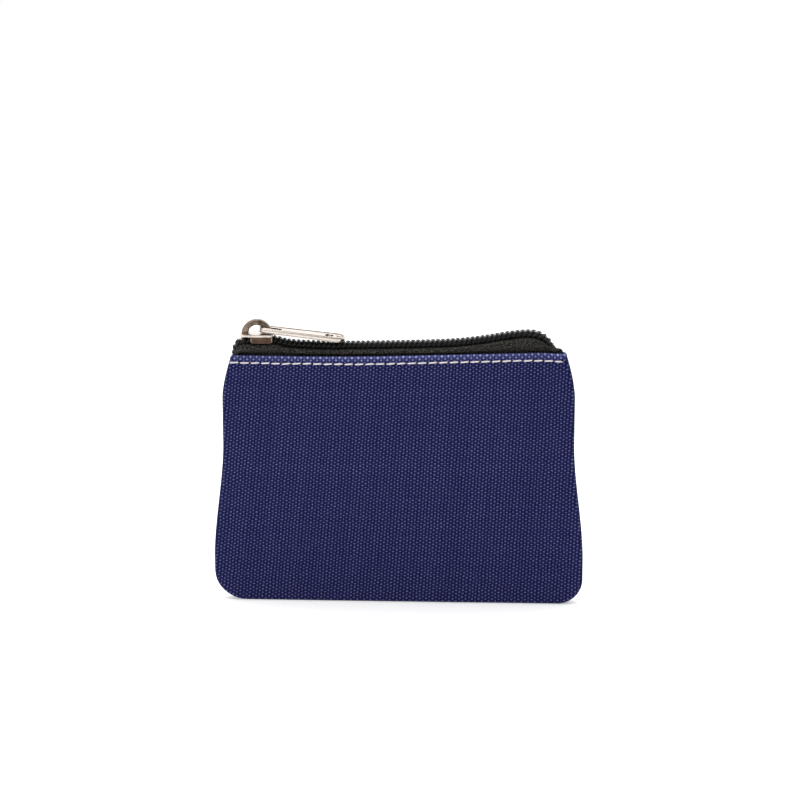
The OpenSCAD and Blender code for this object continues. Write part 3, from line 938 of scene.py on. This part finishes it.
# how far the wedge holds each half from the middle
def partAway(s):
    x = pathAt(chain, chainLengths, s).x
    held = ease((sliderLow.x + zipper["wedgeTip"] + zipper["partLead"] - x) / zipper["partLength"])
    widest = zipper["wedge"] / 2 + zipper["headReach"] + zipper["partGap"]
    return widest * held * ease((s - zipper["buried"]) / zipper["partLength"])


# one loop of the coil: over the top to its head, back below, and round the outer bend to the next loop
def loopPoints(s0, s1):
    r = (zipper["height"] * (1 - lowered(s0)) - zipper["filament"]) / 2
    mid = zipper["touch"] + zipper["filament"] / 2 + r
    left, nextLeft = [zipper["filament"] / 2 + r - zipper["half"] * narrow(s) for s in (s0, s1)]
    head = zipper["headReach"] * narrow(s0) - zipper["filament"] / 2
    right = head - r * 0.72
    shoulder, middle = right + r * 0.62, mix(left, right, 0.5)
    loop = [(left, r), (middle, r), (right, r), (shoulder, r * 0.7),
            (head, 0), (shoulder, -r * 0.7), (right, -r), (middle, -r)]
    points = [chainPoint(s0, across, mid + n) for across, n in loop]
    for k in range(zipper["bendSteps"]):
        t = k / zipper["bendSteps"]
        across = mix(left, nextLeft, t) - r * math.sin(math.pi * t)
        points.append(chainPoint(mix(s0, s1, ease(1.7 * t)), across, mid - r * math.cos(math.pi * t)))
    away, nextAway = partAway(s0), partAway(s1)
    for k, p in enumerate(points):
        p.y -= mix(away, nextAway, max(k + 1 - len(loop), 0) / zipper["bendSteps"])
    return points


def buildCoil(name, shift):
    line = []
    for k in range(loopCount):
        s = zipper["margin"] + (k + zipper["phase"] + shift) * zipper["pitch"]
        line += loopPoints(s, s + zipper["pitch"])
    return tubes(name, [line], zipper["filament"] / 2, coilPlastic, widths=zipper["widths"] * loopCount)


def buildCord(name):
    line = []
    for k in range(zipper["cordSteps"] + 1):
        s = mix(zipper["cordMargin"], chainEnd - zipper["cordMargin"], k / zipper["cordSteps"])
        y = zipper["filament"] + zipper["cordGap"] - zipper["half"] * narrow(s) - partAway(s)
        line.append(chainPoint(s, y, zipper["touch"] + zipper["height"] / 2))
    return tubes(name, [line], zipper["cordRadius"], cordThread)


# the sewing over each loop that holds the coil to its tape
def buildSewing(name, shift):
    line = []
    top = zipper["touch"] + zipper["height"] - 0.02
    for k in range(1, loopCount - 1):
        for part, drop in zipper["sewing"]:
            s = zipper["margin"] + (k + zipper["phase"] + shift + part) * zipper["pitch"]
            y = -zipper["sewingAcross"] * zipper["half"] * narrow(s) - partAway(s)
            line.append(chainPoint(s, y, top - drop - zipper["height"] * lowered(s)))
    return tubes(name, [line], zipper["sewingRadius"], blackThread, sides=6)


# the back half's loops lie half a pitch further on, between the front half's
backCoil = mirrorY(buildCoil("backCoilShape", 0.5), "backCoil", keep=False)
blendBoth(buildCoil("frontCoil", 0), backCoil, "coil")
frontCord = buildCord("frontCoilCord")
blendBoth(frontCord, mirrorY(frontCord, "backCoilCord"), "coil_cord")
backSewing = mirrorY(buildSewing("backSewingShape", 0.5), "backCoilSewing", keep=False)
blendBoth(buildSewing("frontCoilSewing", 0), backSewing, "coil_stitching")
print("coils made")

# zipper tape: flat under the coil, rolled over, then down behind the hem
tape = {
    "flat": 3.42,
    "roll": 4.22,
    "cutWidth": 13.6,
    "endRise": 3.0,  # at the chain's ends the tape runs inside the loops
    "endLevel": 0.55,
    "rollDrop": 1.1,
    "besideTail": 1.0,
    "columns": 150,
    "rows": 22,
    "knotSteps": 6,
}


def hemInside(u, z, drop):
    layers = 2 if drop < bag["hem"] else 1
    return fullDepth(u, z) - bag["canvas"] * layers - stitchDip(drop) * 0.5 - 0.06


def tapeSection(s):
    p = pathAt(chain, chainLengths, s)
    flat = tape["flat"] * narrow(s)
    part = partAway(s) * 0.5
    tailReach = sideReach(bag["height"]) - tape["besideTail"]
    x = mix(-tailReach, tailReach, clampUnit((s - zipper["buried"]) / (chainEnd - 2 * zipper["buried"])))
    u = x / sideReach(bag["height"])
    top, tail = edgeHeight(x), zipper["tapeTail"]
    half = zipper["tape"] / 2
    behind = hemInside(u, bag["height"], 0)
    lowY = half - min(behind, hemInside(u, bag["height"] - tail, tail))
    rollY = half - max(tape["roll"] * narrow(s) + part, behind)
    within = ease(1 - (min(s, chainEnd - s) - zipper["buried"]) / tape["endRise"])
    level = mix(-zipper["touch"] - half, zipper["height"] * tape["endLevel"], within)
    knots = [
        chainPoint(s, -0.2 - part, level),
        chainPoint(s, -flat * 0.55 - part, level),
        chainPoint(s, -flat - part, level),
        Vector((mix(p.x, x, 0.3), rollY, p.z - min(tape["rollDrop"], (p.z - top) / 2 + 0.1))),
        Vector((x, half - behind, top + 0.1)),
        Vector((x, lowY, top - tail * 0.5)),
        Vector((x, lowY, top - tail)),
    ]
    ends = [knots[0]] + knots + [knots[-1]]
    steps = tape["knotSteps"]
    line = [knotBlend(*ends[k:k + 4], t / steps) for k in range(len(knots) - 1) for t in range(steps)]
    return line + [knots[-1]]


def buildTape(name):
    first, last = zipper["buried"], chainEnd - zipper["buried"] + 0.2
    sections = [tapeSection(mix(first, last, k / tape["columns"])) for k in range(tape["columns"] + 1)]
    lengths = [pathLengths(line) for line in sections]
    bm = bmesh.new()
    clothLayer = bm.verts.layers.float_vector.new("cloth")
    bmesh.ops.create_grid(bm, x_segments=tape["columns"], y_segments=tape["rows"], size=1)
    for v in bm.verts:
        column = round((v.co.x + 1) / 2 * tape["columns"])
        run = (v.co.y + 1) / 2 * lengths[column][-1]
        v[clothLayer] = (column / tape["columns"] * chainEnd, run, 0)
        v.co = pathAt(sections[column], lengths[column], run) * mm
    bmesh.ops.recalc_face_normals(bm, faces=bm.faces[:])
    piece = linkShape(name, bm, [tapeCloth])
    thicken(piece, zipper["tape"])
    return piece


frontTape = buildTape("frontTape")
backTape = mirrorY(frontTape, "backTape")
blendBoth(frontTape, backTape, "tape")

# bar tacks that close the mouth's two ends
tack = {"passes": 9, "step": 0.34, "low": 2.95, "radius": 0.18, "half": 0.5}


def buildTack(name, node):
    low, high = boxMm(node)
    x = (low.x + high.x) / 2
    line = []
    for k in range(tack["passes"]):
        z = edgeHeight(x) - tack["low"] + k * tack["step"]
        side = 1 if k % 2 else -1
        line += [(x + 0.12 * side, -tack["half"] * side, z), (x - 0.05 * side, 0.0, z + 0.14),
                 (x + 0.1 * side, tack["half"] * side, z + 0.2)]
    piece = tubes(name, [line], tack["radius"], blackThread, sides=6)
    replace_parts(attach(piece, "seam"), node)


buildTack("leftEndTack", "left_end_tack")
buildTack("rightEndTack", "right_end_tack")
print("tapes and tacks made")


# metal pieces: flat outlines are filled, raised and rounded, in millimetres
def flatShape(bm, loops):
    edges = []
    for loop in loops:
        verts = [bm.verts.new((x, y, 0)) for x, y in loop]
        edges += [bm.edges.new((a, b)) for a, b in zip(verts, verts[1:] + verts[:1])]
    bmesh.ops.triangle_fill(bm, edges=edges, use_beauty=True, use_dissolve=False)


def raiseShape(bm, *way):
    out = bmesh.ops.extrude_face_region(bm, geom=bm.faces[:])["geom"]
    bmesh.ops.translate(bm, vec=way, verts=vertsIn(out))
    bmesh.ops.recalc_face_normals(bm, faces=bm.faces[:])


def roundEdges(bm, offset, segments=3, angle=35):
    sharp = [e for e in bm.edges if len(e.link_faces) == 2 and e.calc_face_angle(0) > math.radians(angle)]
    bmesh.ops.bevel(bm, geom=sharp, offset=offset, offset_type="OFFSET", segments=segments, profile=0.5,
                    affect="EDGES", material=-1, clamp_overlap=True)


def joinInto(target, bm):
    mesh = bpy.data.meshes.new("part")
    bm.to_mesh(mesh)
    bm.free()
    target.from_mesh(mesh)
    bpy.data.meshes.remove(mesh)


slider = {
    "wing": 0.62,
    "wingUp": 8.7,  # widths of the upper and the lower wing
    "wingDown": 6.6,
    "noseShare": 0.34,
    "tailShare": 0.93,
    "tailRound": 0.9,
    "lowerFront": 1.3,  # how much shorter the lower wing is, in front and behind
    "lowerBack": 0.6,
    "edge": 0.2,
    "wedge": ((0.3, -0.5), (1.68, -0.5), (2.4, 0), (1.68, 0.5), (0.3, 0.5), (0, 0)),
    "wedgeFromNose": 0.3,
    "wedgeEdge": 0.08,
    "channelGap": 0.3,  # over the coils
    "flangeUp": 0.26,  # how far the flanges end above the chain's underside
    "flangeLength": 6.6,
    "flange": 0.75,
    "flangeRound": 0.9,
    "flangeFromTail": 0.2,
    "flangeRim": 0.5,
    "flangeSlope": 0.1,
    "flangeDip": 0.3,
    "sink": 0.25,  # how far the parts of the body reach into each other
}
noseX, tailX = sliderLow.x, sliderHigh.x
upperZ = sliderHigh.z - slider["wing"]
lowerZ = sliderLow.z + slider["wing"]


def wingOutline(front, back, width):
    nose = (back - front) * slider["noseShare"]
    tailY = width / 2 * slider["tailShare"]
    r = slider["tailRound"]
    return (arc(front + nose, 0, nose, width / 2, math.pi / 2, math.pi, 28)
            + arc(back - r, -tailY + r, r, r, -math.pi / 2, math.pi / 2, 5)
            + arc(back - r, tailY - r, r, r, 0, math.pi / 2, 5))


def plate(outline, height, low, edge):
    bm = bmesh.new()
    flatShape(bm, [outline])
    raiseShape(bm, 0, 0, height)
    roundEdges(bm, edge)
    moveAll(bm, 0, 0, low)
    return bm


# a side flange with a raised rim round a sunk field; material 1 is the field, with patina and painted shade, 2
# the rest, worn nickel with painted shade
def sideFlange():
    r, high = slider["flangeRound"], upperZ + slider["sink"]
    low = upperZ - (zipper["touch"] + zipper["height"] + slider["channelGap"] - slider["flangeUp"])
    back = tailX - slider["flangeFromTail"]
    front = back - slider["flangeLength"]
    outline = arc(front + r, low + r, r, r, math.pi, math.pi / 2, 6)
    outline += arc(back - r, low + r, r, r, 1.5 * math.pi, math.pi / 2, 6) + [(back, high), (front, high)]
    bm = bmesh.new()
    face = bm.faces.new([bm.verts.new((x, 0, z)) for x, z in outline])
    bm.normal_update()
    for thickness in (slider["flangeRim"], slider["flangeSlope"]):
        bmesh.ops.inset_individual(bm, faces=[face], thickness=thickness, depth=0)
    bmesh.ops.translate(bm, vec=(0, slider["flangeDip"], 0), verts=face.verts[:])
    middle = face.calc_center_median()
    reachX, reachZ = [max(abs(v.co[i] - middle[i]) for v in face.verts) + 0.02 for i in (0, 2)]
    out = bmesh.ops.extrude_edge_only(bm, edges=openEdges(bm.edges))["geom"]
    bmesh.ops.translate(bm, vec=(0, slider["flange"], 0), verts=vertsIn(out))
    bmesh.ops.holes_fill(bm, edges=openEdges(bm.edges), sides=0)
    bmesh.ops.recalc_face_normals(bm, faces=bm.faces[:])
    roundEdges(bm, slider["edge"], 3, 40)
    for f in bm.faces:
        way = f.calc_center_median() - middle
        sunk = abs(way.x) < reachX and abs(way.z) < reachZ and way.y < slider["flangeDip"]
        f.material_index = 1 if sunk and f.normal.y < -0.5 else 2
    moveAll(bm, 0, -slider["wingUp"] / 2 * slider["tailShare"], 0)
    return bm


body = bmesh.new()
joinInto(body, plate(wingOutline(noseX, tailX, slider["wingUp"]), slider["wing"], upperZ, slider["edge"]))
lowerWing = wingOutline(noseX + slider["lowerFront"], tailX - slider["lowerBack"], slider["wingDown"])
joinInto(body, plate(lowerWing, slider["wing"], sliderLow.z, slider["edge"]))
# the wedge between the two coils
wedgeHeight = upperZ - lowerZ + 2 * slider["sink"]
wedge = plate(slider["wedge"], wedgeHeight, lowerZ - slider["sink"], slider["wedgeEdge"])
moveAll(wedge, noseX + slider["wedgeFromNose"], 0, 0)
joinInto(body, wedge)
joinInto(body, sideFlange())
backFlange = sideFlange()
flipY(backFlange)
joinInto(body, backFlange)
toMetres(body)
sliderBody = linkShape("sliderBody", body, [nickel, patinaShadeNickel, crownNickel])
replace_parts(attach(sliderBody, "slider"), "slider_body")

crown = {
    "foot": 2.0,
    "top": 1.65,
    "width": 2.4,
    "edge": 0.42,
    "steps": 28,
    "sink": 0.05,
    "ribs": 7,  # plain ribs round both faces of the arch
    "ribFrom": 48,  # their first and last angles
    "ribTo": 132,
    "ribSize": (0.22, 0.3, 0.66),
    "ribEdge": 0.07,
    "ribSink": 0.06,
}
crownLow, crownHigh = boxMm("slider_crown")
crownX = (crownLow.x + crownHigh.x) / 2
crownA, crownB = (crownHigh.x - crownLow.x) / 2, crownHigh.z - crownLow.z


def crownRib(angle, side):
    acrossX, acrossZ = crownA - crown["foot"] * 0.5, crownB - crown["top"] * 0.5
    rib = bmesh.new()
    bmesh.ops.create_cube(rib, size=1)
    bmesh.ops.scale(rib, vec=crown["ribSize"], verts=rib.verts[:])
    roundEdges(rib, crown["ribEdge"], 2)
    bmesh.ops.rotate(rib, matrix=Matrix.Rotation(math.pi / 2 - angle, 3, "Y"), verts=rib.verts[:])
    moveAll(rib, crownX + acrossX * math.cos(angle), side * (crown["width"] / 2 - crown["ribSink"]),
            crownLow.z + acrossZ * math.sin(angle))
    return rib


bm = bmesh.new()
outer = arc(crownX, 0, crownA, crownB, 0, math.pi, crown["steps"])
inner = arc(crownX, 0, crownA - crown["foot"], crownB - crown["top"], 0, math.pi, crown["steps"])
rows = [(bm.verts.new((ox, 0, oz)), bm.verts.new((ix, 0, iz))) for (ox, oz), (ix, iz) in zip(outer, inner)]
for (a, b), (c, d) in zip(rows, rows[1:]):
    bm.faces.new((a, c, d, b))
raiseShape(bm, 0, crown["width"], 0)
roundEdges(bm, crown["edge"], 4, 50)
moveAll(bm, 0, -crown["width"] / 2, crownLow.z - crown["sink"])
for side in (-1, 1):
    for k in range(crown["ribs"]):
        angle = mix(crown["ribFrom"], crown["ribTo"], k / (crown["ribs"] - 1))
        joinInto(bm, crownRib(math.radians(angle), side))
toMetres(bm)
# the crown's nickel is darker: wear patches and painted shade
sliderCrown = linkShape("sliderCrown", bm, [crownNickel])
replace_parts(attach(sliderCrown, "slider"), "slider_crown")

tab = {
    "length": 25.3,
    "width": 7.4,
    "thick": 1.2,
    "barRadius": 0.6,
    "eyeArm": 1.3,
    "eyeGap": 0.4,  # beside the crown, and beyond it
    "eyeSlack": 0.15,
    "eyeCorner": 1.0,
    "eyeRound": 0.55,  # how pointed the two ends are
    "endRound": 0.7,
    "slot": (2.2, 3.8, 0.9),  # length, width and corner
    "slotFromEnd": 4.85,
    "holeFromEnd": 2.1,
    "holeRadius": 0.8,
    "edge": 0.3,
    "rims": ((0.36, 0.27, 0.06, 0), (0.8, 0.26, 0.13, 1)),  # rim and groove: inset, radius, sink, material
}
pivot = Vector(joints["tab_swing"]["pos_m"]) / mm
hole = Vector(mounts["tab_hole"]["pos_m"]) / mm
tabSlope = math.atan2(pivot.z - hole.z, hole.x - pivot.x)
eyeHalf = crown["width"] / 2 + tab["eyeGap"]
eyeLength = crownA + (pivot.x - crownX) + tab["eyeSlack"]


def roundedRectangle(cx, l, w, r):
    points = []
    for k, (sx, sy) in enumerate(((1, 1), (-1, 1), (-1, -1), (1, -1))):
        points += arc(cx + sx * (l / 2 - r), sy * (w / 2 - r), r, r, math.pi / 2 * k, math.pi / 2, 6)
    return points


# the tab's outline, or a line that far inside it
def tabOutline(inset=0):
    eyeR, endR = eyeHalf + tab["eyeArm"], tab["width"] / 2
    eyeX, endX = eyeR * tab["eyeRound"], endR * tab["endRound"]
    return (arc(eyeX - tab["barRadius"], 0, eyeX - inset, eyeR - inset, math.pi / 2, math.pi, 20)
            + arc(tab["length"] - endX, 0, endX - inset, endR - inset, -math.pi / 2, math.pi, 20))


eyeX, eyeLong = (tab["barRadius"] + eyeLength) / 2, eyeLength - tab["barRadius"]
eyeLoop = roundedRectangle(eyeX, eyeLong, 2 * eyeHalf, tab["eyeCorner"])
slotLoop = roundedRectangle(tab["length"] - tab["slotFromEnd"], *tab["slot"])
holeX = tab["length"] - tab["holeFromEnd"]
holeLoop = arc(holeX, 0, tab["holeRadius"], tab["holeRadius"], 0, 2 * math.pi, 24)[:-1]
bm = bmesh.new()
flatShape(bm, [tabOutline(), eyeLoop, slotLoop, holeLoop])
raiseShape(bm, 0, 0, tab["thick"])
bmesh.ops.dissolve_limit(bm, angle_limit=0.01, verts=bm.verts[:], edges=bm.edges[:])
roundEdges(bm, tab["edge"], 4, 50)
moveAll(bm, 0, 0, -tab["thick"] / 2)
# the walls of the eye, slot and hole, and the underside, get the dark nickel: patina and painted shade
for f in bm.faces:
    centre = f.calc_center_median()
    inside = abs(centre.y) < eyeHalf + 0.15 and -0.3 < centre.x < tab["length"] - 1
    f.material_index = 1 if inside and abs(f.normal.z) < 0.5 or f.normal.z < -0.35 else 0
# a raised rim all round both faces, with painted shade in the groove inside it
for side in (-1, 1):
    for inset, radius, sink, index in tab["rims"]:
        line = [(x, y, side * (tab["thick"] / 2 - sink)) for x, y in tabOutline(inset)]
        rim = tubes("tabRim", [line], radius, nickel, cyclic=True)
        rimShape = bmesh.new()
        rimShape.from_mesh(rim.data)
        bpy.data.objects.remove(rim)
        for f in rimShape.faces:
            f.material_index = index
        bmesh.ops.scale(rimShape, vec=(1 / mm, 1 / mm, 1 / mm), verts=rimShape.verts[:])
        joinInto(bm, rimShape)
bmesh.ops.rotate(bm, matrix=Matrix.Rotation(tabSlope, 3, "Y"), verts=bm.verts[:])
moveAll(bm, *pivot)
toMetres(bm)
pullTab = linkShape("pullTab", bm, [nickel, patinaShadeNickel])
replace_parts(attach(pullTab, "pull"), "pull_tab")
for piece in (sliderBody, sliderCrown, pullTab):
    piece.data.set_sharp_from_angle(angle=math.radians(38))
print("slider and tab made")

# floor, light and camera
studio = {
    "floorSize": 4,
    "floorDark": (0.9, 0.9, 0.9, 1),
    "floorLight": (0.92, 0.92, 0.92, 1),
    "floorGloss": 0.1,
    "floorGlow": 0.28,
    "worldFront": 0.16,  # light from the camera's side, from behind the object and from above
    "worldBack": 1.5,
    "worldTop": 0.5,
}
bm = bmesh.new()
bmesh.ops.create_grid(bm, x_segments=1, y_segments=1, size=studio["floorSize"])
floorMaterial, shader, w = newMaterial("paleFloor")
grain = w.noise(w.objectPlace(), 60.0)
w.fill(shader, {
    "Base Color": w.blend(grain, studio["floorDark"], studio["floorLight"]),
    "Roughness": w.plus(0.8, w.times(grain, 0.1)),
    "Specular IOR Level": studio["floorGloss"],
    "Emission Color": (1, 1, 1, 1),
    "Emission Strength": studio["floorGlow"]})
linkShape("floor", bm, [floorMaterial])

world = bpy.data.worlds.new("studio")
scene.world = world
world.use_nodes = True
world.node_tree.nodes.clear()
w = Wires(world.node_tree)
parts = w.node("ShaderNodeSeparateXYZ", {0: w.node("ShaderNodeTexCoord").outputs["Generated"]}).outputs
behind = w.ramp(parts[1], -0.35, 0.65)
above = w.ramp(parts[2], 0.25, 0.9)
strength = w.plus(w.blend(behind, studio["worldFront"], studio["worldBack"], kind="FLOAT"),
                  w.times(above, studio["worldTop"]))
# the camera sees plain white behind everything
isCamera = w.node("ShaderNodeLightPath").outputs["Is Camera Ray"]
background = w.node("ShaderNodeBackground", {
    "Color": (1, 1, 1, 1), "Strength": w.blend(isCamera, strength, 1.0, kind="FLOAT")})
w.node("ShaderNodeOutputWorld", {"Surface": background.outputs[0]})

lamps = {
    "softTop": {"place": (-0.15, -0.1, 0.95), "target": (0, 0, 0.05), "size": (0.9, 0.7), "power": 4.5},
    "softFront": {"place": (-0.5, -0.9, 0.5), "target": (0, 0, 0.04), "size": (0.5, 0.5), "power": 2.6},
}
for name, look in lamps.items():
    light = bpy.data.lights.new(name, "AREA")
    light.shape = "RECTANGLE"
    light.size, light.size_y = look["size"]
    light.energy = look["power"]
    lamp = bpy.data.objects.new(name, light)
    lamp.location = look["place"]
    way = Vector(look["target"]) - Vector(look["place"])
    lamp.rotation_euler = way.to_track_quat("-Z", "Y").to_euler()
    scene.collection.objects.link(lamp)

# width is how much the view takes in at the target, in metres
view = {"distance": 0.7, "elevation": 12.0, "azimuth": 2.9, "width": 0.2402, "target": (0.0005, 0.0, 0.0624)}
up, turn = math.radians(view["elevation"]), math.radians(view["azimuth"])
away = Vector((math.sin(turn) * math.cos(up), -math.cos(turn) * math.cos(up), math.sin(up)))
away *= view["distance"]
cameraData = bpy.data.cameras.new("camera")
cameraData.lens = cameraData.sensor_width * view["distance"] / view["width"]
cameraData.clip_start = 0.01
camera = bpy.data.objects.new("camera", cameraData)
camera.location = Vector(view["target"]) + away
camera.rotation_euler = (-away).to_track_quat("-Z", "Y").to_euler()
scene.collection.objects.link(camera)
scene.camera = camera
scene.view_settings.view_transform = "Standard"
print("studio made")
